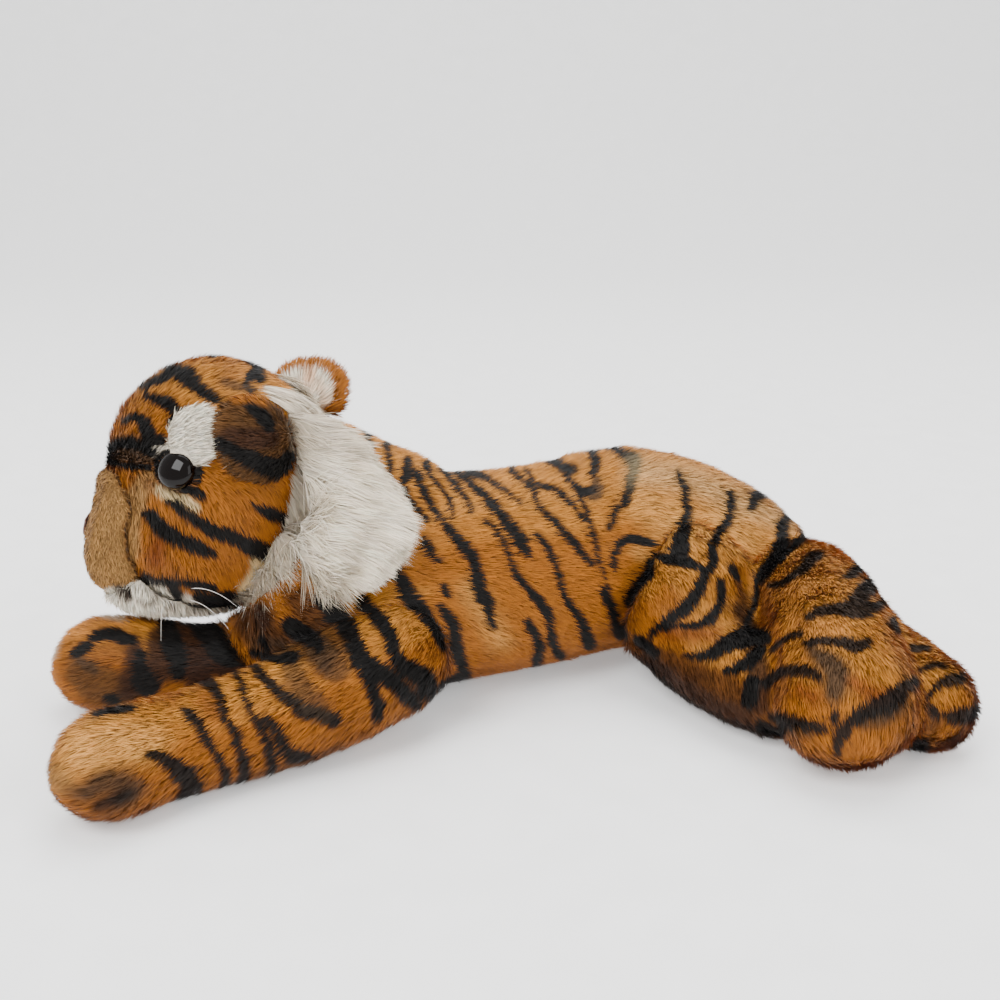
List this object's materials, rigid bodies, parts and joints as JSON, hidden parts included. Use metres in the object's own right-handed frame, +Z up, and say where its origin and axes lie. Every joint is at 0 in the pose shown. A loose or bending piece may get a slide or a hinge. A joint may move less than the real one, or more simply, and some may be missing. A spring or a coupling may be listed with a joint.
{
  "type": "plush tiger",
  "caption": "Stuffed plush tiger lying on its belly, body curved, legs stretched out, with sewn head, legs, tail and ears that give at their seams.",
  "frame": {"origin": "on the floor, in the middle of the footprint's box", "axes": "+Z up; the tiger faces -X and its left side is on the -Y side"},
  "size_m": [0.4736, 0.323, 0.1865],
  "materials": {
    "plush_orange": "short plush pile with printed dark stripes",
    "plush_deep_orange": "short plush pile, airbrushed darker",
    "plush_tan": "short dense plush pile",
    "plush_white": "long and short white plush pile",
    "ear_lining": "pale fluffy pile",
    "filling": "polyester fibre filling",
    "eye": "gloss",
    "nose": "satin",
    "washer": "natural",
    "whisker": "satin nylon thread"
  },
  "bodies": {
    "torso": {"torso_cover": "plush_orange", "torso_stuffing": "filling"},
    "head": {"head_cover": "plush_orange", "head_stuffing": "filling", "muzzle_bridge": "plush_tan", "muzzle_chin": "plush_white", "nose": "nose", "eye_left": "eye", "eye_right": "eye", "eye_washer_left": "washer", "eye_washer_right": "washer", "brow_patch_left": "plush_white", "brow_patch_right": "plush_white", "whisker_left_1": "whisker", "whisker_left_2": "whisker", "whisker_left_3": "whisker", "whisker_right_1": "whisker", "whisker_right_2": "whisker", "whisker_right_3": "whisker", "ruff_left": "plush_white", "ruff_right": "plush_white"},
    "ear_flap_left": {"ear_left": "plush_deep_orange", "ear_lining_left": "ear_lining"},
    "ear_flap_right": {"ear_right": "plush_deep_orange", "ear_lining_right": "ear_lining"},
    "front_leg_left": {"front_leg_left_cover": "plush_orange", "front_leg_left_stuffing": "filling"},
    "front_leg_right": {"front_leg_right_cover": "plush_orange", "front_leg_right_stuffing": "filling"},
    "hind_leg_left": {"hind_leg_left_cover": "plush_orange", "hind_leg_left_stuffing": "filling"},
    "hind_leg_right": {"hind_leg_right_cover": "plush_orange", "hind_leg_right_stuffing": "filling"},
    "tail": {"tail_cover": "plush_orange", "tail_stuffing": "filling"}
  },
  "joints": [
    {"name": "neck_turn", "type": "hinge", "parent": "torso", "child": "head", "pos_m": [-0.14888, -0.00179, 0.1255], "axis": [0, 0, 1], "range_deg": [-10, 10]},
    {"name": "front_leg_left_swing", "type": "hinge", "parent": "torso", "child": "front_leg_left", "pos_m": [-0.06478, -0.05135, 0], "axis": [0, 0, 1], "range_deg": [-8, 8]},
    {"name": "front_leg_right_swing", "type": "hinge", "parent": "torso", "child": "front_leg_right", "pos_m": [-0.08738, -0.02927, 0], "axis": [0, 0, 1], "range_deg": [-8, 8]},
    {"name": "hind_leg_left_swing", "type": "hinge", "parent": "torso", "child": "hind_leg_left", "pos_m": [0.10924, 0.02961, 0], "axis": [0, 0, 1], "range_deg": [-8, 0]},
    {"name": "hind_leg_right_swing", "type": "hinge", "parent": "torso", "child": "hind_leg_right", "pos_m": [0.1341, 0.02961, 0], "axis": [0, 0, 1], "range_deg": [0, 8]},
    {"name": "tail_swing", "type": "hinge", "parent": "torso", "child": "tail", "pos_m": [0.14314, 0.07101, 0], "axis": [0, 0, 1], "range_deg": [-10, 10]},
    {"name": "ear_left_flip", "type": "hinge", "parent": "head", "child": "ear_flap_left", "pos_m": [-0.10602, -0.03711, 0.15173], "axis": [0.1904, -0.4744, -0.8595], "range_deg": [-20, 0]},
    {"name": "ear_right_flip", "type": "hinge", "parent": "head", "child": "ear_flap_right", "pos_m": [-0.1077, 0.02841, 0.14441], "axis": [0.9843, -0.1761, -0.0128], "range_deg": [0, 20]}
  ]
}
